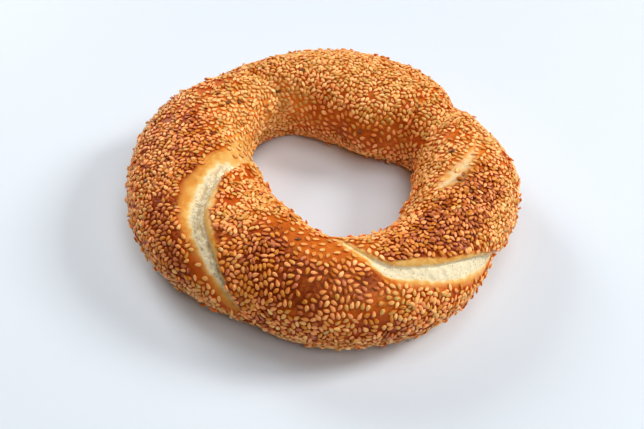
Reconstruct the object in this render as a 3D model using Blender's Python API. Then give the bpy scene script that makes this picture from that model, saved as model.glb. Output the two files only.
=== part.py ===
"""A simit: a twisted ring of sesame-crusted bread, one closed solid resting on its flat base.

The ring is two fat strands of dough wound round each other, two turns in the whole circle. Its
section is an ellipse whose centre radius, half width and half height change round the ring. Places
on it are given by two angles in degrees: turn, round the ring, anticlockwise from +X seen from
above, and roll, round the section, 0 at the outer side, 90 on top and 180 at the inner side.
"""

import math

import bmesh
import bpy
import numpy as np

MM = 0.001

# The section at every 30 degrees of turn, in mm.
CENTRE_RADIUS = (59.5, 59, 58, 61.5, 66.5, 65.5, 59.5, 56, 54, 61, 62, 58)
HALF_WIDTH = (22.5, 16.5, 26.5, 23.5, 16, 25.5, 29, 29, 25, 22, 21.5, 21)
HALF_HEIGHT = (19.5, 19, 19.5, 20.5, 20, 19.5, 20, 19.5, 20, 20, 19.5, 20)
# Height of the section's middle over the base, as a share of the half height. The rest is cut flat.
LIFT = 0.86
# Moves the ring so that the middle of its bounding box is at x = y = 0.
RING_OFFSET = (3.38, -0.97)

# An open tear between two strands. It follows path, a list of (turn, roll). The strand after it
# stands as a round lip over the torn crumb, and the strand before it falls to it in bare skin.
# Each other list gives a width, depth, height or roundness in mm at (turn).
LEFT_TEAR = {
    "path": [(146, 196), (157.6, 177.1), (167, 162), (176.5, 146.8), (185.5, 131.1),
             (193.7, 116.2), (201.8, 102.1), (216, 74.1), (228.7, 51.1), (237.4, 26.7),
             (244.2, 0.1), (253.8, -29.8), (263.7, -53.5)],
    "skin": [(146, 3), (156, 11), (168, 13), (178, 11), (184, 9.6), (191, 7.5), (199, 5.5),
             (206, 7), (211, 6), (217, 4.8), (222, 4), (228, 3), (237, 2.6), (244, 2), (252, 1.5),
             (263, 0)],
    "crumb": [(185, 0), (189, 3), (195, 5), (206, 5.6), (213, 5.2), (221, 4.4), (229, 4.5),
              (237, 4.1), (243, 3), (250, 2.4), (263, 0)],
    "depth": [(146, 0), (156, 1.2), (178, 1.8), (195, 2.3), (217, 3), (232, 3.2), (248, 3.6),
              (257, 3), (263, 0)],
    "lip": [(180, 0), (200, 0.4), (217, 0.8), (232, 1), (248, 0.6), (258, 0)],
    "round": [(195, 2.2), (208, 3.4), (222, 3), (236, 2), (250, 2)],
}
RIGHT_TEAR = {
    "path": [(264, 158), (274.5, 125.2), (281.2, 98.8), (288.7, 77.1), (299, 63.5),
             (310.5, 45.8), (319.4, 26.3), (325.1, 8.5), (329.8, -4.8), (337.7, -28.5)],
    "skin": [(266, 0), (276, 3.2), (281, 3.8), (285, 2.8), (288, 1.6), (291, 2), (295, 3.4),
             (300, 3.2), (306, 2.4), (311, 3.2), (318, 3.7), (328, 3.6), (337, 0)],
    "crumb": [(283, 0), (286, 2.2), (289, 4.2), (296, 4.4), (303, 5.5), (309, 6.4), (318, 6.1),
              (324, 5.4), (331, 3), (337, 0)],
    "depth": [(266, 0), (274, 0.8), (283, 1.4), (295, 1.8), (315, 2.2), (324, 2.8), (330, 3),
              (337, 0)],
    "lip": [(274, 0), (286, 0.1), (312, 0.2), (326, 0.5), (335, 0)],
    "round": [(280, 1.5), (290, 2.6), (297, 3.4), (312, 2.6), (328, 3)],
}
# A crease where the strands meet without tearing: its path, its depth in mm and its half width.
BACK_RIGHT_CREASE = {
    "path": [(372, 250), (378, 210), (382, 165), (384, 130), (387, 90), (391, 60), (400, 25),
             (414, -5)],
    "depth": [(372, 0), (378, 1.5), (384, 2.4), (392, 2.8), (400, 3.4), (407, 2), (414, 0)],
    "half": 4.5,
}
BACK_LEFT_CREASE = {
    "path": [(468, 245), (472, 205), (475, 165), (479, 120), (485, 90), (489, 62), (499, 25),
             (512, -5)],
    "depth": [(468, 0), (473, 1.6), (477, 2.2), (485, 2), (493, 2.6), (502, 2.2), (512, 0)],
    "half": 4.5,
}
HOLE_CORNER = {
    "path": [(112, 226), (118, 200), (140, 184), (147, 168)],
    "depth": [(112, 0.4), (120, 1.4), (136, 3.2), (142, 3.2), (147, 0.8)],
    "half": 9.0,
}
STRETCH_MARK = {
    "path": [(334, 114), (343, 105), (350, 97), (357, 90), (364, 80), (371, 68)],
    "depth": [(334, 0), (343, 1), (357, 1), (366, 0.7), (371, 0)],
    "half": 2.4,
}
TEARS = (LEFT_TEAR, RIGHT_TEAR)
CREASES = (BACK_RIGHT_CREASE, BACK_LEFT_CREASE, HOLE_CORNER, STRETCH_MARK)

# How the profile across a tear is made up, in mm and as shares of its depth.
SHOULDER = 3.0  # where the strand starts to fall, before the bare skin
SKIN_SHARE = 0.85  # depth at the end of the skin
LIP_TAIL = 6.0  # how far the lip's height dies away over the next strand
END_FADE = 6.0  # beyond a path's ends

# The mesh: stations round the ring, and places across a strand, closer together at the tears.
STATIONS = 150
ACROSS = (0, 0.012, 0.032, 0.075, 0.145, 0.22, 0.295, 0.37, 0.445, 0.52, 0.595, 0.67, 0.74,
          0.805, 0.865, 0.915, 0.955, 0.985)
PATH_SAMPLES = 160
TURNS_OF_TWIST = 2
BASE_SNAP = 0.15  # vertices this near the base, in mm, are put on it

CRUST_COLOUR = (0.56, 0.24, 0.06, 1.0)
CRUST_ROUGHNESS = 0.5


def remove_startup_objects():
    for thing in list(bpy.data.objects):
        bpy.data.objects.remove(thing)


def around(values, turn):
    """A smooth closed curve through values at equal steps of turn."""
    values = np.asarray(values, float)
    count = len(values)
    place = (np.asarray(turn, float) % 360) * count / 360
    start = np.floor(place).astype(int)
    t = place - start
    before, here, there, after = (values[(start + k) % count] for k in (-1, 0, 1, 2))
    bend = 2 * before - 5 * here + 4 * there - after + t * (3 * (here - there) + after - before)
    return here + 0.5 * t * (there - before + t * bend)


def along(points, x):
    """A smooth curve through (x, y) points with no overshoot, level beyond its ends."""
    px, py = np.array(points, float).T
    step = np.diff(px)
    rise = np.diff(py) / step
    slope = np.zeros(len(px))
    turning = rise[:-1] * rise[1:] > 0
    early, late = 2 * step[1:] + step[:-1], step[1:] + 2 * step[:-1]
    mean = (early + late)[turning] / (early[turning] / rise[:-1][turning]
                                      + late[turning] / rise[1:][turning])
    slope[1:-1][turning] = mean
    x = np.clip(np.asarray(x, float), px[0], px[-1])
    i = np.clip(np.searchsorted(px, x, side="right") - 1, 0, len(px) - 2)
    t = (x - px[i]) / step[i]
    return (py[i] * (1 + 2 * t) * (1 - t) ** 2 + step[i] * slope[i] * t * (1 - t) ** 2
            + py[i + 1] * t * t * (3 - 2 * t) - step[i] * slope[i + 1] * t * t * (1 - t))


def ease(x):
    x = np.clip(x, 0, 1)
    return x * x * (3 - 2 * x)


def seam(tear, turn):
    """The roll of a tear's line all the way round, as a seam that twists with the strands."""
    path = np.array(tear["path"], float)
    lap = np.array([360.0, -360.0 * TURNS_OF_TWIST])
    every = np.concatenate([path - lap, path, path + lap])
    turn = np.asarray(turn, float)
    return along(every, np.where(turn < path[0, 0], turn + 360, turn))


def wrapped(angle):
    return (angle + 180) % 360 - 180


def from_path(path, turn, roll, section_radius, ring_radius):
    """How far each place is from a path: to its side in mm, all told, and the path's turn there."""
    path_turn = np.linspace(path[0][0], path[-1][0], PATH_SAMPLES)
    path_roll = along(path, path_turn)
    turn_step, roll_step = np.gradient(path_turn), np.gradient(path_roll)
    x = np.radians(wrapped(turn[..., None] - path_turn)) * ring_radius[..., None]
    y = np.radians(wrapped(roll[..., None] - path_roll)) * section_radius[..., None]
    nearest = np.argmin(x * x + y * y, axis=-1)
    pick = nearest[..., None]
    dx = np.take_along_axis(x, pick, -1)[..., 0]
    dy = np.take_along_axis(y, pick, -1)[..., 0]
    tx = np.radians(turn_step[nearest]) * ring_radius
    ty = np.radians(roll_step[nearest]) * section_radius
    side = (tx * dy - ty * dx) / np.hypot(tx, ty)
    return side, np.hypot(dx, dy), path_turn[nearest]


def tear_height(tear, side, away, at):
    """The surface's height over the plain ring across a tear."""
    skin, crumb, depth, lip, bow = (
        along(tear[k], at) for k in ("skin", "crumb", "depth", "lip", "round"))
    foot = -(skin + crumb + SHOULDER)
    fall = np.clip((side - foot) / np.maximum(-crumb - foot, 0.1), 0, 1)
    floor = np.clip((side + crumb) / np.maximum(crumb, 0.1), 0, 1)
    low = -SKIN_SHARE * depth * fall * fall * (1.6 - 0.6 * fall)
    low = low - (1 - SKIN_SHARE) * depth * np.sin(np.pi / 2 * floor)
    climb = np.clip(side / bow, 0, 1)
    rise = np.sqrt(climb * (2 - climb))
    high = lip * np.exp(-np.clip(side - bow, 0, None) / LIP_TAIL)
    fade = ease(1 - (away - np.abs(side)) / END_FADE)
    return (low * (1 - rise) + high * rise) * fade


def ring_points(turn, roll):
    """Points on the bread's surface, in mm."""
    radius, width, height = (around(v, turn) for v in (CENTRE_RADIUS, HALF_WIDTH, HALF_HEIGHT))
    cos_roll, sin_roll = np.cos(np.radians(roll)), np.sin(np.radians(roll))
    section_radius = np.hypot(width * sin_roll, height * cos_roll)
    ring_radius = radius + width * cos_roll
    out, up = height * cos_roll, width * sin_roll
    length = np.hypot(out, up)
    relief = np.zeros(turn.shape)
    for tear in TEARS:
        relief += tear_height(tear, *from_path(tear["path"], turn, roll, section_radius, ring_radius))
    for crease in CREASES:
        _, away, at = from_path(crease["path"], turn, roll, section_radius, ring_radius)
        relief -= along(crease["depth"], at) * np.exp(-((away / crease["half"]) ** 2))
    reach = ring_radius + relief * out / length
    z = height * LIFT + height * sin_roll + relief * up / length
    angle = np.radians(turn)
    x = reach * np.cos(angle) + RING_OFFSET[0]
    y = reach * np.sin(angle) + RING_OFFSET[1]
    return np.stack([x, y, z], axis=-1)


def grid_angles():
    """Turn and roll of every vertex. The rows run along the seams, so a lip is a clean edge."""
    turn = np.arange(STATIONS) * 360 / STATIONS
    first = seam(RIGHT_TEAR, turn)
    second = seam(LEFT_TEAR, turn)
    second = first + (second - first) % 360
    across = np.array(ACROSS)
    rows_a = first[:, None] + (second - first)[:, None] * across
    rows_b = second[:, None] + (first + 360 - second)[:, None] * across
    roll = np.concatenate([rows_a, rows_b], axis=1)
    return np.broadcast_to(turn[:, None], roll.shape), roll


def row_shift(roll):
    """How many rows the grid slips by where the last station meets the first."""
    gap = wrapped(roll[0] - roll[-1][0] - (roll[1][0] - roll[0][0]))
    return int(np.argmin(np.abs(gap)))


def cut_base(mesh):
    """Takes off what is under z = 0 and closes the bread there with one flat ring of faces."""
    everything = mesh.verts[:] + mesh.edges[:] + mesh.faces[:]
    bmesh.ops.bisect_plane(mesh, geom=everything, dist=BASE_SNAP * MM, plane_co=(0, 0, 0),
                           plane_no=(0, 0, 1), clear_inner=True)
    rim = [edge for edge in mesh.edges if edge.is_boundary]
    for edge in rim:
        for vert in edge.verts:
            vert.co.z = 0
    bmesh.ops.triangle_fill(mesh, edges=rim, use_beauty=True, normal=(0, 0, -1))


def make_bread(name, material):
    turn, roll = grid_angles()
    points = ring_points(turn, roll) * MM
    stations, rows = roll.shape
    shift = row_shift(roll)
    mesh = bmesh.new()
    grid = [[mesh.verts.new(points[i, j]) for j in range(rows)] for i in range(stations)]
    for i in range(stations):
        after = (i + 1) % stations
        slip = shift if after == 0 else 0
        for j in range(rows):
            k = (j + 1) % rows
            corners = (grid[i][j], grid[after][(j + slip) % rows],
                       grid[after][(k + slip) % rows], grid[i][k])
            mesh.faces.new(corners)
    cut_base(mesh)
    bmesh.ops.triangulate(mesh, faces=mesh.faces[:])
    bmesh.ops.recalc_face_normals(mesh, faces=mesh.faces[:])
    data = bpy.data.meshes.new(name)
    mesh.to_mesh(data)
    mesh.free()
    data.shade_smooth()
    data.set_sharp_from_angle(angle=math.radians(25))
    data.materials.append(material)
    bread = bpy.data.objects.new(name, data)
    bpy.context.scene.collection.objects.link(bread)
    return bread


def crust_material():
    material = bpy.data.materials.new("sesame_crust")
    material.use_nodes = True
    shader = material.node_tree.nodes["Principled BSDF"]
    shader.inputs["Base Color"].default_value = CRUST_COLOUR
    shader.inputs["Roughness"].default_value = CRUST_ROUGHNESS
    shader.inputs["Metallic"].default_value = 0.0
    return material


remove_startup_objects()
make_bread("simit", crust_material())
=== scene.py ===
import math

import bpy
import numpy as np
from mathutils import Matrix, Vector, noise


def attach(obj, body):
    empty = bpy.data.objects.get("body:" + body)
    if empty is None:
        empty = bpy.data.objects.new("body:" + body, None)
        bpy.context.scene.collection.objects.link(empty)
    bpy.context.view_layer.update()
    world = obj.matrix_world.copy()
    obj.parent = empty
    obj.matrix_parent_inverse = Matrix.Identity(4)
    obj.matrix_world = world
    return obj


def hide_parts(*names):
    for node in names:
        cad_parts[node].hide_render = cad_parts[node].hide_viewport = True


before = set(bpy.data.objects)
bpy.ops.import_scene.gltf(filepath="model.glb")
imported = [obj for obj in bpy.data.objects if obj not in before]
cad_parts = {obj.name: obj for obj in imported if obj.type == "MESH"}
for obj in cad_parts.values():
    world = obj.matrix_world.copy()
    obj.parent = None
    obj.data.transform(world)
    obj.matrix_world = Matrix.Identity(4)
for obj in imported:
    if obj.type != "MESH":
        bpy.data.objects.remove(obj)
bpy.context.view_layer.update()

mm = 0.001

# The bread's shape, in mm and degrees. Turn goes round the ring, roll round its section.
shape = {  # the first three run round the ring in twelve equal steps
    "centreRadius": (59.5, 59, 58, 61.5, 66.5, 65.5, 59.5, 56, 54, 61, 62, 58),
    "halfWidth": (22.5, 16.5, 26.5, 23.5, 16, 25.5, 29, 29, 25, 22, 21.5, 21),
    "halfHeight": (19.5, 19, 19.5, 20.5, 20, 19.5, 20, 19.5, 20, 20, 19.5, 20),
    "lift": 0.86,  # height of the section's middle, as a share of its half height
    "offset": (3.38, -0.97),  # brings the outline's middle to the origin
}
# A tear's path is turn and roll along its seam. The rest go by turn: in mm, the pale skin and
# the crumb behind the seam, the sunken depth, the lip's height and rounding, and the bare rim
# past the seam, and as a share, how pale the skin is.
leftTear = {
    "path": [(146, 196), (157.6, 177.1), (167, 162), (176.5, 146.8), (185.5, 131.1),
             (193.7, 116.2), (201.8, 102.1), (216, 74.1), (228.7, 51.1), (237.4, 26.7),
             (244.2, 0.1), (253.8, -29.8), (263.7, -53.5)],
    "skin": [(146, 3), (156, 11), (168, 13), (178, 11), (184, 9.6), (191, 7.5), (199, 5.5),
             (206, 7), (211, 6), (217, 4.8), (222, 4), (228, 3), (237, 2.6), (244, 2), (252, 1.5),
             (263, 0)],
    "crumb": [(185, 0), (189, 3), (195, 5), (206, 5.6), (213, 5.2), (221, 4.4), (229, 4.5),
              (237, 4.1), (243, 3), (250, 2.4), (263, 0)],
    "depth": [(146, 0), (156, 1.2), (178, 1.8), (195, 2.3), (217, 3), (232, 3.2), (248, 3.6),
              (257, 3), (263, 0)],
    "lip": [(180, 0), (200, 0.4), (217, 0.8), (232, 1), (248, 0.6), (258, 0)],
    "round": [(195, 2.2), (208, 3.4), (222, 3), (236, 2), (250, 2)],
    "rim": [(184, 0.3), (199, 0.5), (206, 2.4), (211, 3.9), (216, 3.1), (227, 3.2), (232, 2.2),
            (237, 1.4), (245, 0.8)],
    "pale": [(146, 0.9), (165, 0.95), (182, 1), (240, 1), (256, 0.7)],
}
rightTear = {
    "path": [(264, 158), (274.5, 125.2), (281.2, 98.8), (288.7, 77.1), (299, 63.5),
             (310.5, 45.8), (319.4, 26.3), (325.1, 8.5), (329.8, -4.8), (337.7, -28.5)],
    "skin": [(266, 0), (276, 3.2), (281, 3.8), (285, 2.8), (288, 1.6), (291, 2), (295, 3.4),
             (300, 3.2), (306, 2.4), (311, 3.2), (318, 3.7), (328, 3.6), (337, 0)],
    "crumb": [(283, 0), (286, 2.2), (289, 4.2), (296, 4.4), (303, 5.5), (309, 6.4), (318, 6.1),
              (324, 5.4), (331, 3), (337, 0)],
    "depth": [(266, 0), (274, 0.8), (283, 1.4), (295, 1.8), (315, 2.2), (324, 2.8), (330, 3),
              (337, 0)],
    "lip": [(274, 0), (286, 0.1), (312, 0.2), (326, 0.5), (335, 0)],
    "round": [(280, 1.5), (290, 2.6), (297, 3.4), (312, 2.6), (328, 3)],
    "rim": [(276, 1.0), (287, 1.6), (290, 2.2), (296, 3.7), (303, 2.5), (312, 2.2), (316, 2.6),
            (328, 1.4)],
    "pale": [(264, 0.3), (271, 0.8), (280, 1.3), (292, 1), (320, 1), (338, 1)],
}
creases = {  # path as turn and roll, depth in mm along it, half width in mm
    "backRight": {
        "path": [(372, 250), (378, 210), (382, 165), (384, 130), (387, 90), (391, 60), (400, 25),
                 (414, -5)],
        "depth": [(372, 0), (378, 1.5), (384, 2.4), (392, 2.8), (400, 3.4), (407, 2), (414, 0)],
        "half": 4.5,
    },
    "backLeft": {
        "path": [(468, 245), (472, 205), (475, 165), (479, 120), (485, 90), (489, 62), (499, 25),
                 (512, -5)],
        "depth": [(468, 0), (473, 1.6), (477, 2.2), (485, 2), (493, 2.6), (502, 2.2), (512, 0)],
        "half": 4.5,
    },
    "holeCorner": {
        "path": [(112, 226), (118, 200), (140, 184), (147, 168)],
        "depth": [(112, 0.4), (120, 1.4), (136, 3.2), (142, 3.2), (147, 0.8)],
        "half": 9.0,
    },
    "stretchMark": {
        "path": [(334, 114), (343, 105), (350, 97), (357, 90), (364, 80), (371, 68)],
        "depth": [(334, 0), (343, 1), (357, 1), (366, 0.7), (371, 0)],
        "half": 2.4,
    },
}


# A smooth value round the ring, through values at equal steps of turn.
def around(values, turn):
    values = np.asarray(values, float)
    place = (np.asarray(turn, float) % 360) * len(values) / 360
    start = np.floor(place).astype(int)
    t = place - start
    before, here, there, after = (values[(start + k) % len(values)] for k in (-1, 0, 1, 2))
    bend = 2 * before - 5 * here + 4 * there - after + t * (3 * (here - there) + after - before)
    return here + 0.5 * t * (there - before + t * bend)


# A smooth value through a list of points, that never overshoots them.
def along(points, x):
    px, py = np.array(points, float).T
    step = np.diff(px)
    rise = np.diff(py) / step
    slope = np.zeros(len(px))
    turning = rise[:-1] * rise[1:] > 0
    early, late = 2 * step[1:] + step[:-1], step[1:] + 2 * step[:-1]
    slope[1:-1][turning] = (early + late)[turning] / (
        early[turning] / rise[:-1][turning] + late[turning] / rise[1:][turning])
    x = np.clip(np.asarray(x, float), px[0], px[-1])
    i = np.clip(np.searchsorted(px, x, side="right") - 1, 0, len(px) - 2)
    t = (x - px[i]) / step[i]
    return (py[i] * (1 + 2 * t) * (1 - t) ** 2 + step[i] * slope[i] * t * (1 - t) ** 2
            + py[i + 1] * t * t * (3 - 2 * t) - step[i] * slope[i + 1] * t * t * (1 - t))


# 0 below low, 1 above high and smooth between.
def ease(x, low=0.0, high=1.0):
    x = np.clip((x - low) / (high - low), 0, 1)
    return x * x * (3 - 2 * x)


# Degrees brought between -180 and 180.
def wrapped(angle):
    return (angle + 180) % 360 - 180


search = {
    "samples": 160,  # along a path
    "margin": 30,  # degrees past a path's ends
    "far": 99.0,  # mm, given to places beyond that
    "batch": 20000,  # places looked at together, to spare memory
}


# Signed distance to the side of a path, distance from it, and the path's turn there.
def fromPath(path, turn, roll, sectionRadius, ringRadius):
    pathTurn = np.linspace(path[0][0], path[-1][0], search["samples"])
    pathRoll = along(path, pathTurn)
    turnStep, rollStep = np.gradient(pathTurn), np.gradient(pathRoll)
    side, away, at = (np.full(turn.shape, v) for v in (search["far"], search["far"], pathTurn[0]))
    mid = pathTurn.mean()
    near = np.abs(wrapped(turn - mid)) < (pathTurn[-1] - pathTurn[0]) / 2 + search["margin"]
    t, r, sec, rad = turn[near], roll[near], sectionRadius[near], ringRadius[near]
    sides, aways, ats = [], [], []
    for k in range(0, len(t), search["batch"]):
        part = slice(k, k + search["batch"])
        x = np.radians(wrapped(t[part, None] - pathTurn)) * rad[part, None]
        y = np.radians(wrapped(r[part, None] - pathRoll)) * sec[part, None]
        best = np.argmin(x * x + y * y, axis=1)
        rows = np.arange(len(best))
        dx, dy = x[rows, best], y[rows, best]
        tx, ty = np.radians(turnStep[best]) * rad[part], np.radians(rollStep[best]) * sec[part]
        sides.append((tx * dy - ty * dx) / np.hypot(tx, ty))
        aways.append(np.hypot(dx, dy))
        ats.append(pathTurn[best])
    side[near], away[near], at[near] = (np.concatenate(v) for v in (sides, aways, ats))
    return side, away, at


tearForm = {
    "runIn": 3.0,  # mm before the skin, where the crust starts to sink
    "slopeShare": 0.85,  # of the depth, reached where the crumb starts
    "crumbShare": 0.15,  # of the depth, added in the crumb
    "lipRunOut": 6.0,  # mm, over which the lip dies away
    "endFade": 6.0,  # mm past a seam's ends
}


# A tear's relief in mm: it sinks towards the seam, and the lip rises past it.
def tearHeight(tear, side, away, at):
    skin, crumb, depth, lip, bow = (
        along(tear[k], at) for k in ("skin", "crumb", "depth", "lip", "round"))
    foot = -(skin + crumb + tearForm["runIn"])
    fall = np.clip((side - foot) / np.maximum(-crumb - foot, 0.1), 0, 1)
    floor = np.clip((side + crumb) / np.maximum(crumb, 0.1), 0, 1)
    low = -tearForm["slopeShare"] * depth * fall * fall * (1.6 - 0.6 * fall)
    low = low - tearForm["crumbShare"] * depth * np.sin(np.pi / 2 * floor)
    climb = np.clip(side / bow, 0, 1)
    rise = np.sqrt(climb * (2 - climb))
    high = lip * np.exp(-np.clip(side - bow, 0, None) / tearForm["lipRunOut"])
    fade = ease(1 - (away - np.abs(side)) / tearForm["endFade"])
    return (low * (1 - rise) + high * rise) * fade


# Smooth noise of about -1 to 1 with lumps of that size in mm.
def lump(points, size, seed=0.0):
    shift = Vector((seed * 17.3, seed * 5.1, seed * 9.7))
    return np.array([noise.noise(Vector(p) / size + shift) for p in points.reshape(-1, 3)]
                    ).reshape(points.shape[:-1])


# Adds lumps to a value, each with its height, its size in mm and its own seed.
def lumpy(points, lumps, value=0.0):
    for height, size, seed in lumps:
        value = value + height * lump(points, size, seed)
    return value


# Where places on the bread are, which way they face, and how far they are from each seam.
def survey(turn, roll):
    radius, width, height = (around(shape[k], turn)
                             for k in ("centreRadius", "halfWidth", "halfHeight"))
    c, s = np.cos(np.radians(roll)), np.sin(np.radians(roll))
    sectionRadius, ringRadius = np.hypot(width * s, height * c), radius + width * c
    out, up = height * c, width * s
    length = np.hypot(out, up)
    out, up = out / length, up / length
    angle = np.radians(turn)
    plain = np.stack([ringRadius * np.cos(angle), ringRadius * np.sin(angle),
                      height * shape["lift"] + height * s], -1)
    left = fromPath(leftTear["path"], turn, roll, sectionRadius, ringRadius)
    right = fromPath(rightTear["path"], turn, roll, sectionRadius, ringRadius)
    relief = tearHeight(leftTear, *left) + tearHeight(rightTear, *right)
    crease = {}
    for name, one in creases.items():
        _, away, at = fromPath(one["path"], turn, roll, sectionRadius, ringRadius)
        crease[name] = (away, at)
        relief = relief - along(one["depth"], at) * np.exp(-((away / one["half"]) ** 2))
    return {"turn": turn % 360, "roll": roll % 360, "plain": plain, "relief": relief,
            "section": sectionRadius, "ring": ringRadius,
            "facing": np.stack([out * np.cos(angle), out * np.sin(angle), up], -1),
            "left": left, "right": right, "crease": crease}


grain = {  # each lump's height, size in mm and seed
    "edges": ((0.7, 6, 1), (0.5, 2.2, 2)),  # how the bare bands' edges wander
    "cover": ((1, 9, 3),),  # where seeds are fewer
    "browning": ((0.28, 11, 4), (0.12, 3.5, 5)),
    "crust": ((0.45, 13, 6), (0.16, 4.5, 7)),  # mm, broad and fine unevenness of the dough
    "torn": ((1, 2.6, 8), (0.6, 1.2, 9)),  # the crumb
    "valley": ((0.9, 6, 10),),  # mm, how the fold wanders
    "foldBreaks": ((1, 3, 11),),
}
looks = {
    "crumbRough": 0.45,  # mm, height of the torn crumb
    "paleEndCover": 0.25,  # seed cover on the golden skin where the left tear begins
    "paleEnd": (176, 188),  # turn over which that stretch ends
    "edgeWander": 1.3,  # mm, how far the edges of the bare bands wander
    "rightWander": 0.7,  # share of that at the right tear
    "thinSpots": 0.12,  # share of the seeds that thin spots lack
    "seedsStart": (0.4, 1.0),  # mm above the base
    "browning": 0.32,  # how brown the crust is outside the patches, 0 to 1
    "lowPaleness": 0.06,  # how much less brown it is near the base
    "lowHeights": (2, 15),  # mm over which that ends
    "foldDepth": 1.0,  # mm, of the fold down the left tear's crumb
    "foldWidth": 0.9,  # mm
    "foldReach": 12,  # mm, the farthest it lies from the seam
    "foldWay": [(190, 3.6), (208, 3.4), (218, 2.0), (229, 1.4), (245, 1.2)],  # turn, mm behind
    "markWidth": [(334, 2.4), (340, 6.5), (349, 5.6), (357, 3.4), (371, 1.3)],  # turn, mm
    "markPaleness": 0.8,
    "patchFade": (0.55, 1.25),  # where a patch starts to fade and ends, in its half widths
}
patches = (  # turn, roll, half widths of both, seed cover there or None, browning there or None
    (262, 104, 27, 23, 0.28, 0.45),  # nearly bare crust on the front strand
    (268, 52, 27, 34, 0.7, 0.8),  # well spaced seeds below it
    (246, 60, 16, 40, None, 0.95),  # dark beside the left tear's lower half
    (70, 168, 44, 24, 0.42, 0.5),  # the wall inside the hole, at the back, with sparse seeds; its extra browning is painted shade
    (138, 160, 34, 56, 0.9, -0.7),  # pale where the left strand starts, its crust and seeds made paler still as painted light
    (188, 74, 36, 46, None, 0.72),  # the left strand's top
    (312, 80, 26, 38, None, 1.0),  # darkest, beside the right tear
    (310, 66, 16, 24, 1.25, None),  # crowded seeds above that tear
    (354, 34, 34, 40, None, 0.1),  # golden right side
    (300, 36, 26, 34, None, 0.35),
    (222, 36, 24, 40, 0.8, 0.72),  # outside the left tear
    (268, 8, 44, 24, None, 0.6),  # the front's lower edge
    (334, 70, 24, 34, None, 0.92),  # baked top of the right strand
    (12, 90, 24, 50, None, 0.15),
    (75, 82, 44, 40, None, 0.2),  # golden back
)


# Blends the patches' values over a base value.
def patchwork(info, which, base):
    value = base
    for turn, roll, halfTurn, halfRoll, *wanted in patches:
        if wanted[which] is None:
            continue
        far = np.hypot(wrapped(info["turn"] - turn) / halfTurn,
                       wrapped(info["roll"] - roll) / halfRoll)
        share = 1 - ease(far, *looks["patchFade"])
        value = value * (1 - share) + wanted[which] * share
    return value


tearBands = {  # widths in mm, places as turn
    "endFade": 3.5,  # past a seam's ends
    "crumbEdge": 0.6,  # half the width over which crumb turns to skin
    "lipEdge": (0.1, 0.7),  # past the seam, where the crumb ends
    "thinCrumb": (0.4, 1.5),  # widths over which crumb starts to show
    "thinSkin": (0.3, 2.0),  # the same for skin
    "skinStart": 0.9,  # how far into the crust the skin's edge fades
    "skinFade": 1.7,  # how far into the skin it fades
    "rimEdge": (-0.3, 0.5),  # about the rim's far edge
    "rawWidth": 1.6,  # the least width over which skin turns raw
    "parting": 264,  # between the left tear and the right one
    "rightStart": (258, 266),  # where the right tear's look takes over
    "innerEnd": (180, 204),  # where the left tear's half baked end in the hole stops
    "innerCap": (182, 194),  # where its skin may be fully raw
    "softStretch": (205, 228),  # where its skin's edge turns softer
    "lipBakes": (206, 230),  # where its lip turns browner
    "lowerEnd": (232, 244),  # where its skin's edge is sharp again
}


# Shares of crumb and of bare skin, and how raw the skin is.
def tearLook(tear, side, away, at, wander):
    bands = tearBands
    skin, crumb, rim = (along(tear[k], at) for k in ("skin", "crumb", "rim"))
    ends = ease(1 - (away - np.abs(side)) / bands["endFade"])
    worn = side + wander
    crumbShare = ease(worn, -crumb - bands["crumbEdge"], -crumb + bands["crumbEdge"])
    crumbShare = crumbShare * (1 - ease(side, *bands["lipEdge"]))
    crumbShare = crumbShare * ease(crumb, *bands["thinCrumb"]) * ends
    onLeft = at < bands["parting"]
    low = ease(at, *bands["lowerEnd"]) * onLeft
    soft = 1.6 * ease(at, *bands["softStretch"]) * onLeft * (1 - low)
    fade = bands["skinFade"] + soft - 1.5 * low
    bare = ease(worn, -crumb - skin - bands["skinStart"] - 0.6 * low, -crumb - skin + fade)
    bare = bare * (1 - ease(worn, rim + bands["rimEdge"][0], rim + bands["rimEdge"][1]))
    bare = bare * ease(skin, *bands["thinSkin"]) * ends
    onRight = ease(at, *bands["rightStart"])
    rawness = np.clip(1 + (worn + crumb) / np.maximum(0.95 * skin, bands["rawWidth"]), 0, 1)
    rawness = rawness ** (2.2 - 0.8 * onRight)
    rawness = np.maximum(rawness, 0.42 * (1 - ease(at, *bands["innerEnd"])))
    lipRaw = 0.85 - 0.45 * ease(at, *bands["lipBakes"]) + 0.12 * onRight
    lipRaw = lipRaw * (1 - 0.5 * ease(side / np.maximum(rim, 0.5), 0, 1))
    cap = 0.52 + 0.48 * ease(at, *bands["innerCap"])
    rawness = np.minimum(np.where(side > 0, lipRaw, rawness), cap)
    rawness = rawness * bare * along(tear["pale"], at)
    return crumbShare, bare, rawness


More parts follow.
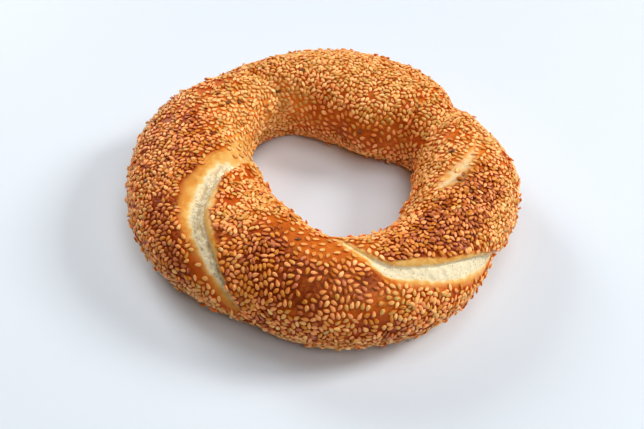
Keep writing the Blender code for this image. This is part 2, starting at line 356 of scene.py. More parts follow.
# How places look: shares of crumb, bare skin and seed cover, and how raw or brown they are.
def appearance(info):
    place = info["plain"]
    wander = looks["edgeWander"] * lumpy(place, grain["edges"])
    leftLook = tearLook(leftTear, *info["left"], wander)
    rightLook = tearLook(rightTear, *info["right"], wander * looks["rightWander"])
    crumb, bare, raw = (np.maximum(a, b) for a, b in zip(leftLook, rightLook))
    markAway, markAt = info["crease"]["stretchMark"]
    markWidth = along(looks["markWidth"], markAt)
    mark = np.exp(-(np.clip(markAway + wander * 0.5, 0, None) / markWidth) ** 2)
    cover = patchwork(info, 0, 1.0)
    cover = cover * (1 - looks["thinSpots"] * ease(lumpy(place, grain["cover"]), 0.1, 0.5))
    side, away, at = info["left"]
    strewn = looks["paleEndCover"] * (1 - ease(at, *looks["paleEnd"])) * (side < 0)
    cover = cover * (1 - (1 - strewn) * ease(bare, 0.1, 0.5)) * (1 - 0.9 * ease(mark, 0.3, 0.7))
    height = place[..., 2] + info["relief"] * info["facing"][..., 2]
    cover = cover * ease(height, *looks["seedsStart"])
    brown = lumpy(place, grain["browning"], patchwork(info, 1, looks["browning"]))
    brown = brown - looks["lowPaleness"] * (1 - ease(height, *looks["lowHeights"]))
    # the fold both sinks the crumb and darkens it with painted shade
    valley = lumpy(place, grain["valley"], along(looks["foldWay"], at))
    fold = np.exp(-((side + valley) / looks["foldWidth"]) ** 2) * (away < looks["foldReach"])
    fold = fold * ease(lumpy(place, grain["foldBreaks"]), -0.4, 0.2) * crumb
    mark = looks["markPaleness"] * mark
    return {"fold": fold, "crumb": crumb, "bare": np.maximum(bare, mark),
            "raw": np.maximum(raw, mark), "cover": cover, "brown": np.clip(brown, -0.6, 1),
            "height": height, "pores": rightLook[0]}


# The finished surface, with the dough's unevenness and the torn crumb.
def surface(info, look):
    place = info["plain"]
    crust = lumpy(place, grain["crust"])
    torn = looks["crumbRough"] * lumpy(place, grain["torn"])
    torn = torn - looks["foldDepth"] * look["fold"]
    relief = info["relief"] + crust * (1 - 0.5 * look["bare"]) + look["crumb"] * torn
    points = place + relief[..., None] * info["facing"]
    points[..., 2] = np.maximum(points[..., 2], 0)
    points[..., 0] += shape["offset"][0]
    points[..., 1] += shape["offset"][1]
    return points


bodyGrid = {
    "stations": 680,
    "lipRows": (0, 0.3, 0.7, 1.2, 1.8, 2.5, 3.3, 4.3, 5.5),  # mm behind a seam
    "coarseRow": 1.5,  # mm
    "denseFrom": 16.0,  # mm before a seam
    "denseRow": 0.5,  # mm
    "strand": 62.0,  # mm across a strand, which the rows are shared out over
    "mapMargin": 0.004,  # left free round each half of the map
}


# A seam's roll at any turn. It rolls back two full turns in one lap of the ring.
def seam(tear, turn):
    path = np.array(tear["path"], float)
    lap = np.array([360.0, -720.0])
    every = np.concatenate([path - lap, path, path + lap])
    return along(every, np.where(turn < path[0, 0], turn + 360, turn))


# Turn and roll of every point, in rows that follow the two seams and crowd beside them.
def bodyAngles():
    turn = np.arange(bodyGrid["stations"]) * 360 / bodyGrid["stations"]
    first = seam(rightTear, turn)
    second = first + (seam(leftTear, turn) - first) % 360
    width, lips = bodyGrid["strand"], bodyGrid["lipRows"]
    coarse = np.arange(lips[-1] + bodyGrid["coarseRow"], width - bodyGrid["denseFrom"],
                       bodyGrid["coarseRow"])
    dense = np.arange(width - bodyGrid["denseFrom"], width - 0.01, bodyGrid["denseRow"])
    rows = np.concatenate([lips, coarse, dense]) / width
    roll = np.concatenate([first[:, None] + (second - first)[:, None] * rows,
                           second[:, None] + (first + 360 - second)[:, None] * rows], 1)
    return np.repeat(turn, roll.shape[1]), roll.ravel(), roll.shape


# Stores a value for every point of a mesh, under each name.
def addFloats(mesh, **fields):
    for name, values in fields.items():
        mesh.attributes.new(name, "FLOAT", "POINT").data.foreach_set(
            "value", np.asarray(values, np.float32))


def makeBody():
    turn, roll, (stations, rows) = bodyAngles()
    info = survey(turn, roll)
    look = appearance(info)
    points = surface(info, look) * mm
    grid = roll.reshape(stations, rows)
    gap = wrapped(grid[0] - grid[-1, 0] - (grid[1, 0] - grid[0, 0]))
    slip = int(np.argmin(np.abs(gap)))
    i, j = (a.ravel() for a in np.meshgrid(np.arange(stations), np.arange(rows), indexing="ij"))
    after, shift = (i + 1) % stations, np.where(i + 1 == stations, slip, 0)
    corners = [i * rows + j, after * rows + (j + shift) % rows,
               after * rows + (j + 1 + shift) % rows, i * rows + (j + 1) % rows]
    faces = np.stack(corners, 1)
    mesh = bpy.data.meshes.new("bread")
    mesh.from_pydata(points.tolist(), [], faces.tolist())
    half = stations // 2
    mapU = np.stack([i % half, i % half + 1, i % half + 1, i % half], 1) / half
    mapV = np.stack([j, j, j + 1, j + 1], 1) / rows
    margin = bodyGrid["mapMargin"]
    mapU = margin + (1 - 2 * margin) * mapU
    mapV = margin + (0.5 - 2 * margin) * mapV + 0.5 * (i[:, None] >= half)
    layer = mesh.uv_layers.new(name="OFBake")
    layer.uv.foreach_set("vector", np.stack([mapU, mapV], -1).astype(np.float32).ravel())
    mesh.shade_smooth()
    fields = ("crumb", "bare", "raw", "brown", "fold", "cover", "pores")
    addFloats(mesh, **{name: look[name] for name in fields})
    body = bpy.data.objects.new("bread", mesh)
    bpy.context.scene.collection.objects.link(body)
    return body


bread = makeBody()
print("stage: bread", len(bread.data.polygons) * 2, "triangles")


def newMaterial(name):
    material = bpy.data.materials.new(name)
    material.use_nodes = True
    tree = material.node_tree
    tree.nodes.clear()
    output = tree.nodes.new("ShaderNodeOutputMaterial")
    shader = tree.nodes.new("ShaderNodeBsdfPrincipled")
    tree.links.new(shader.outputs[0], output.inputs[0])
    return material, tree, shader


# Links a socket, or sets a plain value on it.
def feed(tree, socket, value):
    if isinstance(value, bpy.types.NodeSocket):
        tree.links.new(value, socket)
    else:
        socket.default_value = value


def fieldNode(tree, name):
    node = tree.nodes.new("ShaderNodeAttribute")
    node.attribute_name = name
    return node.outputs["Fac"]


def mathNode(tree, kind, a, b=0.0, clamp=False):
    node = tree.nodes.new("ShaderNodeMath")
    node.operation, node.use_clamp = kind, clamp
    feed(tree, node.inputs[0], a)
    feed(tree, node.inputs[1], b)
    return node.outputs[0]


def rangeNode(tree, value, low, high, toLow=0.0, toHigh=1.0):
    node = tree.nodes.new("ShaderNodeMapRange")
    node.interpolation_type = "SMOOTHSTEP"
    for socket, v in zip(node.inputs, (value, low, high, toLow, toHigh)):
        feed(tree, socket, v)
    return node.outputs[0]


def mixNode(tree, share, a, b, kind="MIX"):
    node = tree.nodes.new("ShaderNodeMix")
    node.data_type, node.blend_type = "RGBA", kind
    node.clamp_factor = True
    feed(tree, node.inputs[0], share)
    feed(tree, node.inputs[6], a)
    feed(tree, node.inputs[7], b)
    return node.outputs[2]


# Noise with lumps of that size in mm, from object coordinates.
def noiseNode(tree, size, detail=2.0, rough=0.5, distortion=0.0):
    node = tree.nodes.new("ShaderNodeTexNoise")
    feed(tree, node.inputs["Vector"], tree.nodes.new("ShaderNodeTexCoord").outputs["Object"])
    node.inputs["Scale"].default_value = 1 / (size * mm)
    node.inputs["Detail"].default_value = detail
    node.inputs["Roughness"].default_value = rough
    node.inputs["Distortion"].default_value = distortion
    return node.outputs["Fac"]


# 1 in round pores spaced by size in mm, 0 between them.
def poreNode(tree, size, low, high):
    node = tree.nodes.new("ShaderNodeTexVoronoi")
    feed(tree, node.inputs["Vector"], tree.nodes.new("ShaderNodeTexCoord").outputs["Object"])
    node.inputs["Scale"].default_value = 1 / (size * mm)
    return rangeNode(tree, node.outputs["Distance"], low, high, 1.0, 0.0)


# A colour given as 0 to 255 values, in linear light.
def srgb(r, g, b):
    return tuple(v / 12.92 if v <= 0.04045 else ((v + 0.055) / 1.055) ** 2.4
                 for v in (r / 255, g / 255, b / 255)) + (1.0,)


crustColours = {
    "glow": srgb(255, 178, 76),  # where browning is below 0; mostly painted light, the paler gold on the wall where the left strand starts
    "golden": srgb(236, 142, 50),
    "baked": srgb(204, 100, 30),
    "dark": srgb(134, 50, 12),
    "skinGold": srgb(230, 150, 60),
    "skinPale": srgb(242, 186, 98),
    "skinCream": srgb(252, 230, 176),
    "crumb": srgb(253, 238, 200),
    # painted shade of the crumb's pores, fibre strands and fold
    "crumbShade": srgb(188, 150, 94),
    "paintedGapShade": (0.92, 0.66, 0.46, 1.0),  # painted shade: what crust between dense seeds is multiplied by, standing in for the shade in the gaps between them
}
crustFinish = {
    "roughness": 0.38,
    "crumbRoughness": 0.85,
    "shine": 0.24,
    "shineTint": (1.0, 0.78, 0.56, 1.0),
    "bump": 0.35,
    "bumpDistance": 0.5,  # mm
    "speckleSize": 1.6,  # mm, as all these sizes
    "flushSize": 3.5,
    "fibreSize": 1.6,
    "poreSize": 1.3,
    "poreGroups": 3.0,
    "glossSize": 5.0,
    "wrinkleSize": 2.4,
    "fineWrinkleSize": 0.9,
    "fineWrinkles": 0.45,  # their share
    "foldShade": 0.6,  # how dark the fold's painted shade is
}


def crustMaterial():
    material, tree, shader = newMaterial("simitCrust")
    colours, finish = crustColours, crustFinish
    brown, bare, raw, crumb = (fieldNode(tree, n) for n in ("brown", "bare", "raw", "crumb"))
    speckle = noiseNode(tree, finish["speckleSize"], 3, 0.6)
    tint = mathNode(tree, "ADD", brown, rangeNode(tree, speckle, 0.35, 0.65, -0.12, 0.12))
    crust = mixNode(tree, rangeNode(tree, tint, 0.0, 0.5), colours["golden"], colours["baked"])
    crust = mixNode(tree, rangeNode(tree, tint, 0.5, 1.0), crust, colours["dark"])
    crust = mixNode(tree, rangeNode(tree, tint, 0.0, -0.5), crust, colours["glow"])
    flush = rangeNode(tree, noiseNode(tree, finish["flushSize"], 3), 0.3, 0.7, -0.2, 0.2)
    blush = mathNode(tree, "ADD", raw, flush)
    skin = mixNode(tree, rangeNode(tree, blush, 0.05, 0.5), colours["skinGold"], colours["skinPale"])
    skin = mixNode(tree, rangeNode(tree, blush, 0.45, 0.95), skin, colours["skinCream"])
    # painted shade: the crust darkens where seeds crowd, standing in for the shade between them
    deep = mixNode(tree, 1.0, crust, colours["paintedGapShade"], "MULTIPLY")
    crust = mixNode(tree, rangeNode(tree, fieldNode(tree, "cover"), 0.6, 0.95), crust, deep)
    colour = mixNode(tree, bare, crust, skin)
    # pores, fibre strands and the fold darken the crumb towards crumbShade: painted shade in its
    # hollows
    fibre = noiseNode(tree, finish["fibreSize"], 5, 0.7, distortion=1.2)
    pores = poreNode(tree, finish["poreSize"], 0.1, 0.4)
    groups = rangeNode(tree, noiseNode(tree, finish["poreGroups"], 1), 0.44, 0.56)
    hollow = mathNode(tree, "MULTIPLY", pores, groups)
    hollow = mathNode(tree, "MULTIPLY", hollow, fieldNode(tree, "pores"))
    strands = rangeNode(tree, fieldNode(tree, "pores"), 0.0, 1.0, 0.75, 0.2)
    strands = mathNode(tree, "MULTIPLY", strands, rangeNode(tree, fibre, 0.56, 0.36))
    shade = mathNode(tree, "MAXIMUM", hollow, strands)
    folded = mathNode(tree, "MULTIPLY", fieldNode(tree, "fold"), finish["foldShade"])
    shade = mathNode(tree, "MAXIMUM", shade, folded)
    torn = mixNode(tree, shade, colours["crumb"], colours["crumbShade"])
    colour = mixNode(tree, crumb, colour, torn)
    feed(tree, shader.inputs["Base Color"], colour)
    gloss = rangeNode(tree, noiseNode(tree, finish["glossSize"], 2), 0.3, 0.7, -0.06, 0.08)
    rough = rangeNode(tree, crumb, 0.0, 1.0, finish["roughness"], finish["crumbRoughness"])
    feed(tree, shader.inputs["Roughness"], mathNode(tree, "ADD", rough, gloss))
    shader.inputs["Specular IOR Level"].default_value = finish["shine"]
    shader.inputs["Specular Tint"].default_value = finish["shineTint"]
    wrinkle = noiseNode(tree, finish["wrinkleSize"], 2, distortion=0.8)
    wrinkle = rangeNode(tree, wrinkle, 0.35, 0.65)
    fine = noiseNode(tree, finish["fineWrinkleSize"], 4, 0.6)
    wrinkle = mixNode(tree, finish["fineWrinkles"], wrinkle, fine)
    height = mixNode(tree, crumb, wrinkle, mathNode(tree, "SUBTRACT", fibre, shade))
    bump = tree.nodes.new("ShaderNodeBump")
    bump.inputs["Strength"].default_value = finish["bump"]
    bump.inputs["Distance"].default_value = finish["bumpDistance"] * mm
    feed(tree, bump.inputs["Height"], height)
    feed(tree, shader.inputs["Normal"], bump.outputs[0])
    return material


bread.data.materials.append(crustMaterial())

seeds = {
    "perSquareMm": 0.203,
    "length": 3.02, "width": 1.83, "thick": 0.92,  # mm
    "sizeSpread": 0.07,  # of length and width, as a share
    "thickSpread": 0.1,
    "sunk": 0.1,  # mm, how deep a seed's underside lies in the crust
    "tilt": 9.5,  # degrees
    "secondLayer": 0.14,  # share of the seeds that lie on others
    "secondDrift": (1.0, 2.5),  # turn and roll, how far off them they lie
    "secondLift": 0.75,  # mm
    "crowdLift": 0.25,  # mm, the most that a crowded seed is lifted
    "crowded": 1.2,  # mm, overlap of the most crowded seeds
    "rounds": 45,  # of pushing apart
    "resurvey": 15,  # rounds from one survey to the next
    "discPlace": 0.20,  # a seed is pushed as two discs: their place, as a share of its length
    "discRadius": 0.47,  # as a share of its width
    "sparsest": 0.3,  # cover below which seeds keep no more room
    "step": 0.22,  # share of an overlap undone in one round
    "cells": (90, 60),  # of the neighbour search, round the ring and its section
    "seed": 7,
    "jitterSeed": 3,
    "sections": ((0.09, 0.60), (0.30, 0.98), (0.56, 0.90), (0.82, 0.48)),  # share along, width
    "sides": 8,  # of a section
    "sizeJitter": 0.04,
    "lowest": 1.2,  # mm above the floor, for a seed's middle
    "roughness": 0.3,
    "shine": 0.5,
    "shineTint": (1.0, 0.87, 0.72, 1.0),
    "brightness": (0.78, 1.18),  # darkest and lightest seed of a kind
}
brownFrom = {"amber": 0.31, "toasted": 0.52, "dark": 0.92}  # browning where each kind begins
brownSpread = 0.22  # how much it varies from seed to seed
chances = {
    "amber": 0.25,  # of a golden seed
    "pale": 0.008,
    "paleOnPale": 0.85,  # added on the palest crust, as painted light on the seeds there
    "burnt": 0.002,
}
kinds = {  # colour in the middle and at the rim: partly the seeds' own toasting, partly a painted highlight on top and painted shade on the rim and underside
    "goldenSeeds": {"centre": srgb(255, 204, 118), "rim": srgb(250, 142, 48)},
    "toastedSeeds": {"centre": srgb(252, 164, 76), "rim": srgb(220, 98, 24)},
    "darkSeeds": {"centre": srgb(214, 112, 46), "rim": srgb(148, 54, 14)},
    "paleSeeds": {"centre": srgb(255, 206, 126), "rim": srgb(255, 164, 66)},
    "burntSeeds": {"centre": srgb(140, 76, 36), "rim": srgb(92, 42, 18)},
    "amberSeeds": {"centre": srgb(255, 190, 102), "rim": srgb(242, 128, 38)},
}


# One sesame seed along x, tip at +x, lying flat: a drop of 64 triangles.
def seedShape():
    sections, segments = seeds["sections"], seeds["sides"]
    points, rim = [(-0.5, 0.0, 0.0)], [0.8]
    for t, w in sections:
        for k in range(segments):
            a = 2 * math.pi * k / segments
            points.append((t - 0.5, 0.5 * w * math.cos(a), 0.5 * w * math.sin(a)))
            # rim is 1 on the underside and at the ends and less on the top middle: it carries the
            # painted shade below and the painted highlight above
            rim.append(1 - max(math.sin(a), 0) * min(1.0, 1.4 - t))
    points.append((0.5, 0.0, 0.0))
    rim.append(1.0)
    last, faces = len(points) - 1, []
    for k in range(segments):
        n = (k + 1) % segments
        faces.append((0, 1 + n, 1 + k))
        for ring in range(len(sections) - 1):
            a, b = 1 + ring * segments, 1 + (ring + 1) * segments
            faces.append((a + k, a + n, b + n, b + k))
        a = 1 + (len(sections) - 1) * segments
        faces.append((a + k, a + n, last))
    mesh = bpy.data.meshes.new("oneSeed")
    scaled = [(x * seeds["length"] * mm, y * seeds["width"] * mm, z * seeds["thick"] * mm)
              for x, y, z in points]
    mesh.from_pydata(scaled, [], faces)
    addFloats(mesh, rim=rim)
    mesh.shade_smooth()
    return bpy.data.objects.new("oneSeed", mesh)


# Seed cover and area at every degree of turn and two of roll.
def coverGrid():
    turn, roll = (a.ravel() for a in np.meshgrid(np.arange(360.0), np.arange(0.0, 360, 2),
                                                 indexing="ij"))
    info = survey(turn, roll)
    look = appearance(info)
    area = np.radians(1) * info["ring"] * np.radians(2) * info["section"]
    return look["cover"].reshape(360, 180), area.reshape(360, 180)


# Where the seeds lie: strewn by cover, then pushed apart as long drops until they fit.
def packSeeds():
    rng = np.random.default_rng(seeds["seed"])
    cover, area = coverGrid()
    weight = cover * area * (cover > 0.02)
    count = int(seeds["perSquareMm"] * weight.sum())
    cells = rng.choice(weight.size, count, p=(weight / weight.sum()).ravel())
    turn = cells // 180 + rng.random(count)
    roll = (cells % 180 + rng.random(count)) * 2
    heading = rng.random(count) * 2 * math.pi
    reach = seeds["length"] * seeds["discPlace"]
    across, down = seeds["cells"]

    def coverAt(t, r):
        return cover[np.floor(t % 360).astype(int) % 360, np.floor(r % 360 / 2).astype(int) % 180]

    for step in range(seeds["rounds"]):
        if step % seeds["resurvey"] == 0:
            near = survey(turn, roll)
        ring, section = near["ring"], near["section"]
        spread = np.clip(coverAt(turn, roll), seeds["sparsest"], 1) ** -0.5
        radius = np.repeat(seeds["discRadius"] * seeds["width"] * spread, 2)
        sign = np.tile((-1.0, 1.0), count)
        ax, ay = np.cos(heading), np.sin(heading)
        ring2, section2 = np.repeat(ring, 2), np.repeat(section, 2)
        u = (np.repeat(turn, 2) + np.degrees(sign * reach * np.repeat(ax, 2) / ring2)) % 360
        v = (np.repeat(roll, 2) + np.degrees(sign * reach * np.repeat(ay, 2) / section2)) % 360
        cu, cv = (u * across / 360).astype(int) % across, (v * down / 360).astype(int) % down
        cell = cu * down + cv
        order = np.argsort(cell, kind="stable")
        sortedCell = cell[order]
        place = np.arange(len(cell)) - np.searchsorted(sortedCell, sortedCell)
        room = int(place.max()) + 1
        table = np.full((across * down, room), -1)
        table[sortedCell, place] = order
        push = np.zeros((len(cell), 2))
        for du in (-1, 0, 1):
            for dv in (-1, 0, 1):
                other = table[((cu + du) % across) * down + (cv + dv) % down]
                use = (other >= 0) & (other // 2 != (np.arange(len(cell)) // 2)[:, None])
                dx = np.radians(wrapped(u[:, None] - u[other])) * ring2[:, None]
                dy = np.radians(wrapped(v[:, None] - v[other])) * section2[:, None]
                d = np.hypot(dx, dy) + 1e-6
                deep = np.where(use, np.clip(radius[:, None] + radius[other] - d, 0, None), 0)
                push[:, 0] += (deep * dx / d).sum(1)
                push[:, 1] += (deep * dy / d).sum(1)
        push = push.reshape(count, 2, 2)
        move = seeds["step"] * push.sum(1)
        twist = push[:, 1] - push[:, 0]
        turning = (ax * twist[:, 1] - ay * twist[:, 0]) / reach
        heading = heading + seeds["step"] * np.clip(turning, -1.5, 1.5)
        newTurn = turn + np.degrees(move[:, 0] / ring)
        newRoll = roll + np.degrees(move[:, 1] / section)
        allowed = coverAt(newTurn, newRoll) > np.minimum(0.2, 0.8 * coverAt(turn, roll))
        turn, roll = np.where(allowed, newTurn, turn), np.where(allowed, newRoll, roll)
    squeeze = np.hypot(*push.transpose(2, 0, 1)).sum(1)
    return rng, turn % 360, roll % 360, heading, squeeze


# Points on the surface, and their along, across and outward directions.
def basis(turn, roll):
    def at(t, r):
        info = survey(t, r)
        look = appearance(info)
        return info, look, surface(info, look)
    info, look, here = at(turn, roll)
    alongRing = at(turn + 0.6, roll)[2] - at(turn - 0.6, roll)[2]
    acrossRing = at(turn, roll + 1.8)[2] - at(turn, roll - 1.8)[2]
    outward = np.cross(alongRing, acrossRing)
    outward /= np.linalg.norm(outward, axis=1, keepdims=True) + 1e-9
    outward *= np.sign((outward * info["facing"]).sum(1, keepdims=True))
    alongRing /= np.linalg.norm(alongRing, axis=1, keepdims=True) + 1e-9
    acrossRing = np.cross(outward, alongRing)
    return info, look, here, alongRing, acrossRing, outward


# Middles, turns, sizes, tones and kinds of all the seeds.
def placeSeeds():
    rng, turn, roll, heading, squeeze = packSeeds()
    count = len(turn)
    extra = rng.choice(count, int(count * seeds["secondLayer"]), replace=False)
    turnDrift, rollDrift = seeds["secondDrift"]
    turn = np.concatenate([turn, turn[extra] + rng.normal(0, turnDrift, len(extra))])
    roll = np.concatenate([roll, roll[extra] + rng.normal(0, rollDrift, len(extra))])
    heading = np.concatenate([heading, rng.random(len(extra)) * 2 * math.pi])
    squeeze = np.concatenate([squeeze, np.zeros(len(extra))])
    upper = np.arange(len(turn)) >= count
    info, look, here, ax, ay, az = basis(turn, roll)
    keep = (look["cover"] > np.where(upper, 0.8, 0.05)) & (look["height"] > 0.35)
    size = len(turn)
    long = 1 + rng.normal(0, seeds["sizeSpread"], size)
    wide = 1 + rng.normal(0, seeds["sizeSpread"], size)
    thick = 1 + rng.normal(0, seeds["thickSpread"], size)
    lift = (0.5 * seeds["thick"] - seeds["sunk"]) * np.ones(size)
    crowded = np.clip(squeeze / seeds["crowded"], 0, 1)
    lift += seeds["crowdLift"] * crowded * rng.random(size) + seeds["secondLift"] * upper
    tilt = np.radians(seeds["tilt"]) * (0.6 + 0.7 * crowded + 0.8 * upper)
    tilt *= 0.35 + 0.65 * ease(look["cover"], 0.5, 0.95)
    c, s = np.cos(heading)[:, None], np.sin(heading)[:, None]
    x = ax * c + ay * s
    y = ay * c - ax * s
    pitch, bank = rng.normal(0, 1, size) * tilt, rng.normal(0, 1.3, size) * tilt
    lift += 0.35 * np.abs(pitch) + 0.25 * np.abs(bank)
    x2 = x * np.cos(pitch)[:, None] + az * np.sin(pitch)[:, None]
    z2 = az * np.cos(pitch)[:, None] - x * np.sin(pitch)[:, None]
    y3 = y * np.cos(bank)[:, None] + z2 * np.sin(bank)[:, None]
    z3 = z2 * np.cos(bank)[:, None] - y * np.sin(bank)[:, None]
    middle = here + az * lift[:, None]
    keep &= middle[:, 2] > seeds["lowest"]
    euler = np.stack([np.arctan2(y3[:, 2], z3[:, 2]),
                      np.arcsin(np.clip(-x2[:, 2], -1, 1)),
                      np.arctan2(x2[:, 1], x2[:, 0])], 1)
    brown = look["brown"] + brownSpread * rng.normal(0, 1, size)
    golden, toasted, dark, pale, burnt, amber = range(len(kinds))
    kind = np.where(brown > brownFrom["amber"], amber, golden)
    kind = np.where(brown > brownFrom["toasted"], toasted, kind)
    kind = np.where(brown > brownFrom["dark"], dark, kind)
    dice = rng.random(size)
    kind = np.where((kind == golden) & (dice > 1 - chances["amber"]), amber, kind)
    paleChance = chances["pale"] + chances["paleOnPale"] * ease(-look["brown"], 0.05, 0.5)
    kind = np.where(dice < paleChance, pale, kind)
    kind = np.where(dice > 1 - chances["burnt"], burnt, kind)
    grow = np.stack([long, wide, thick], 1)
    tone = rng.random(size)
    return [v[keep] for v in (middle * mm, euler, grow, tone, kind)]


# Puts one seed on every anchor, turned and sized by the anchor's attributes.
def strewTree(material):
    tree = bpy.data.node_groups.new("strewSeeds", "GeometryNodeTree")
    face = tree.interface
    face.new_socket("Anchors", in_out="INPUT", socket_type="NodeSocketGeometry")
    one = face.new_socket("One seed", in_out="INPUT", socket_type="NodeSocketObject")
    size = face.new_socket("Seed size", in_out="INPUT", socket_type="NodeSocketFloat")
    size.default_value = 1.0
    jitter = face.new_socket("Size jitter", in_out="INPUT", socket_type="NodeSocketFloat")
    jitter.default_value = seeds["sizeJitter"]
    fixed = face.new_socket("Random seed", in_out="INPUT", socket_type="NodeSocketInt")
    fixed.default_value = seeds["jitterSeed"]
    face.new_socket("Seeds", in_out="OUTPUT", socket_type="NodeSocketGeometry")
    add, link = tree.nodes.new, tree.links.new
    given, made = add("NodeGroupInput"), add("NodeGroupOutput")
    shapeOf = add("GeometryNodeObjectInfo")
    link(given.outputs["One seed"], shapeOf.inputs["Object"])

    def stored(name, kind):
        node = add("GeometryNodeInputNamedAttribute")
        node.data_type = kind
        node.inputs["Name"].default_value = name
        return node.outputs["Attribute"]

    facing = add("FunctionNodeEulerToRotation")
    link(stored("facing", "FLOAT_VECTOR"), facing.inputs[0])
    chance = add("FunctionNodeRandomValue")
    chance.data_type = "FLOAT"
    low, high = add("ShaderNodeMath"), add("ShaderNodeMath")
    low.operation, high.operation = "SUBTRACT", "ADD"
    low.inputs[0].default_value = high.inputs[0].default_value = 1.0
    link(given.outputs["Size jitter"], low.inputs[1])
    link(given.outputs["Size jitter"], high.inputs[1])
    link(low.outputs[0], chance.inputs[2])
    link(high.outputs[0], chance.inputs[3])
    link(given.outputs["Random seed"], chance.inputs["Seed"])
    times = add("ShaderNodeMath")
    times.operation = "MULTIPLY"
    link(chance.outputs[1], times.inputs[0])
    link(given.outputs["Seed size"], times.inputs[1])
    scale = add("ShaderNodeVectorMath")
    scale.operation = "SCALE"
    link(stored("grow", "FLOAT_VECTOR"), scale.inputs[0])
    link(times.outputs[0], scale.inputs["Scale"])
    put = add("GeometryNodeInstanceOnPoints")
    link(given.outputs["Anchors"], put.inputs["Points"])
    link(shapeOf.outputs["Geometry"], put.inputs["Instance"])
    link(facing.outputs[0], put.inputs["Rotation"])
    link(scale.outputs[0], put.inputs["Scale"])
    real, paint = add("GeometryNodeRealizeInstances"), add("GeometryNodeSetMaterial")
    link(put.outputs[0], real.inputs[0])
    link(real.outputs[0], paint.inputs["Geometry"])
    paint.inputs["Material"].default_value = material
    link(paint.outputs[0], made.inputs[0])
    return tree, {"One seed": one.identifier, "Seed size": size.identifier,
                  "Size jitter": jitter.identifier, "Random seed": fixed.identifier}


def seedMaterial(name, colours):
    material, tree, shader = newMaterial(name)
    rim, tone = fieldNode(tree, "rim"), fieldNode(tree, "tone")
    mottle = rangeNode(tree, noiseNode(tree, 0.9, 2), 0.3, 0.7, -0.25, 0.25)
    edge = mathNode(tree, "ADD", rangeNode(tree, rim, 0.1, 1.0), mottle, True)
    # the top middle takes the pale centre colour and the rim and underside the darker rim colour:
    # partly the seed's toasting, partly painted highlight and painted shade
    colour = mixNode(tree, edge, colours["centre"], colours["rim"])
    shadeOf = tree.nodes.new("ShaderNodeHueSaturation")
    feed(tree, shadeOf.inputs["Color"], colour)
    feed(tree, shadeOf.inputs["Value"], rangeNode(tree, tone, 0.0, 1.0, *seeds["brightness"]))
    feed(tree, shadeOf.inputs["Saturation"], rangeNode(tree, tone, 0.0, 1.0, 1.05, 0.95))
    feed(tree, shader.inputs["Base Color"], shadeOf.outputs[0])
    shader.inputs["Roughness"].default_value = seeds["roughness"]
    shader.inputs["Specular IOR Level"].default_value = seeds["shine"]
    shader.inputs["Specular Tint"].default_value = seeds["shineTint"]
    return material


# One kind's seeds as a plain mesh.
def strewKind(one, name, colours, number, placed):
    middle, euler, grow, tone, kind = placed
    mine = kind == number
    anchors = bpy.data.meshes.new(name)
    anchors.from_pydata(middle[mine].tolist(), [], [])
    for field, values in (("facing", euler), ("grow", grow)):
        anchors.attributes.new(field, "FLOAT_VECTOR", "POINT").data.foreach_set(
            "vector", values[mine].astype(np.float32).ravel())
    addFloats(anchors, tone=tone[mine])
    holder = bpy.data.objects.new(name, anchors)
    bpy.context.scene.collection.objects.link(holder)
    tree, sockets = strewTree(seedMaterial(name, colours))
    modifier = holder.modifiers.new("strew", "NODES")
    modifier.node_group = tree
    modifier[sockets["One seed"]] = one
    modifier[sockets["Seed size"]] = 1.0
    modifier[sockets["Size jitter"]] = seeds["sizeJitter"]
    modifier[sockets["Random seed"]] = seeds["jitterSeed"] + number
    holder.update_tag()
    graph = bpy.context.evaluated_depsgraph_get()
    mesh = bpy.data.meshes.new_from_object(holder.evaluated_get(graph))
    bpy.data.objects.remove(holder)
    mesh.name = name
    piece = bpy.data.objects.new(name, mesh)
    bpy.context.scene.collection.objects.link(piece)
    mapSeeds(mesh, len(one.data.vertices))
    return piece


# Gives every seed a small square of its own in the map.
def mapSeeds(mesh, each):
    loops = np.empty(len(mesh.loops), int)
    mesh.loops.foreach_get("vertex_index", loops)
    points = np.empty(len(mesh.vertices) * 3)
    mesh.vertices.foreach_get("co", points)
    count = len(mesh.vertices) // each
    side = math.ceil(math.sqrt(count))
    sides = seeds["sides"]
    alongSeed, wide = np.array(seeds["sections"]).T
    flatX = np.concatenate([[0.0], np.repeat(alongSeed, sides), [1.0]])
    widths = np.concatenate([[0.0], np.repeat(wide, sides), [0.0]])
    angles = np.tile(np.arange(sides) * 2 * math.pi / sides, len(wide))
    angles = np.concatenate([[0.0], angles, [0.0]])
    flatY = 0.5 + 0.5 * widths * np.cos(angles)
    index, part = loops // each, loops % each
    margin = 0.12  # of a square
    u = (index % side + margin + (1 - 2 * margin) * flatX[part]) / side
    v = (index // side + margin + (1 - 2 * margin) * flatY[part]) / side
    layer = mesh.uv_layers.new(name="OFBake")
    layer.uv.foreach_set("vector", np.stack([u, v], 1).astype(np.float32).ravel())


oneSeed = seedShape()
bpy.context.scene.collection.objects.link(oneSeed)
placed = placeSeeds()
print("stage: seeds placed", len(placed[0]))
seedPieces = [strewKind(oneSeed, name, colours, number, placed)
              for number, (name, colours) in enumerate(kinds.items())]
bpy.data.objects.remove(oneSeed)
print("stage: seeds", {p.name: len(p.data.polygons) for p in seedPieces})

for piece in (bread, *seedPieces):
    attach(piece, "root")
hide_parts("simit")

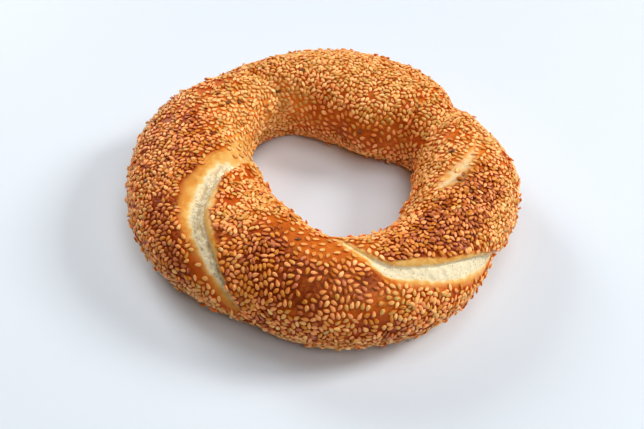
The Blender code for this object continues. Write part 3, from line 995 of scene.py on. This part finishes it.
studio = {
    "floor": srgb(229, 237, 245), "floorRadius": 0.95, "floorSides": 64, "floorRoughness": 0.6,
    "world": (0.86, 0.94, 1.0, 1.0), "worldStrength": 0.84,
    "lights": {
        "right": {"place": (1.21, 0.25, 0.86), "size": 0.45, "watts": 15.5},
        "backLeft": {"place": (-0.65, 0.78, 0.64), "size": 0.5, "watts": 7.6},
        "front": {"place": (0.24, -0.65, 0.98), "size": 0.6, "watts": 4.0},
        "top": {"place": (0.13, 0.05, 0.99), "size": 0.5, "watts": 2.4},
    },
}
camera = {
    "lens": 47.82,  # mm
    "sensor": 36.0,  # mm
    "elevation": 46.0,  # degrees
    "distance": 0.3883,
    "aim": (-0.0002, -0.0035, 0.0),
    "nearest": 0.01,  # what it can see
}


def areaLight(name, setting):
    data = bpy.data.lights.new(name, "AREA")
    data.shape, data.size, data.energy = "SQUARE", setting["size"], setting["watts"]
    light = bpy.data.objects.new(name, data)
    light.location = setting["place"]
    light.rotation_euler = (-Vector(setting["place"])).to_track_quat("-Z", "Y").to_euler()
    bpy.context.scene.collection.objects.link(light)


def makeStudio():
    floor = bpy.data.meshes.new("floor")
    sides, radius = studio["floorSides"], studio["floorRadius"]
    corners = [2 * math.pi * k / sides for k in range(sides)]
    edge = [(radius * math.cos(a), radius * math.sin(a), 0) for a in corners]
    floor.from_pydata(edge, [], [tuple(range(sides))])
    material, tree, shader = newMaterial("floorPaint")
    shader.inputs["Base Color"].default_value = studio["floor"]
    shader.inputs["Roughness"].default_value = studio["floorRoughness"]
    floor.materials.append(material)
    ground = bpy.data.objects.new("floor", floor)
    bpy.context.scene.collection.objects.link(ground)
    for name, setting in studio["lights"].items():
        areaLight(name, setting)
    world = bpy.data.worlds.new("studio")
    world.use_nodes = True
    world.node_tree.nodes["Background"].inputs[0].default_value = studio["world"]
    world.node_tree.nodes["Background"].inputs[1].default_value = studio["worldStrength"]
    world.cycles_visibility.diffuse = False  # a pale backdrop that adds no light
    world.cycles_visibility.glossy = False
    bpy.context.scene.world = world
    bpy.context.scene.view_settings.view_transform = "Standard"


def makeCamera():
    data = bpy.data.cameras.new("camera")
    data.lens, data.sensor_width = camera["lens"], camera["sensor"]
    data.clip_start = camera["nearest"]
    eye = bpy.data.objects.new("camera", data)
    tilt = math.radians(camera["elevation"])
    back = Vector((0, -math.cos(tilt), math.sin(tilt)))
    eye.location = Vector(camera["aim"]) + back * camera["distance"]
    eye.rotation_euler = (-back).to_track_quat("-Z", "Y").to_euler()
    bpy.context.scene.collection.objects.link(eye)
    bpy.context.scene.camera = eye


makeStudio()
makeCamera()
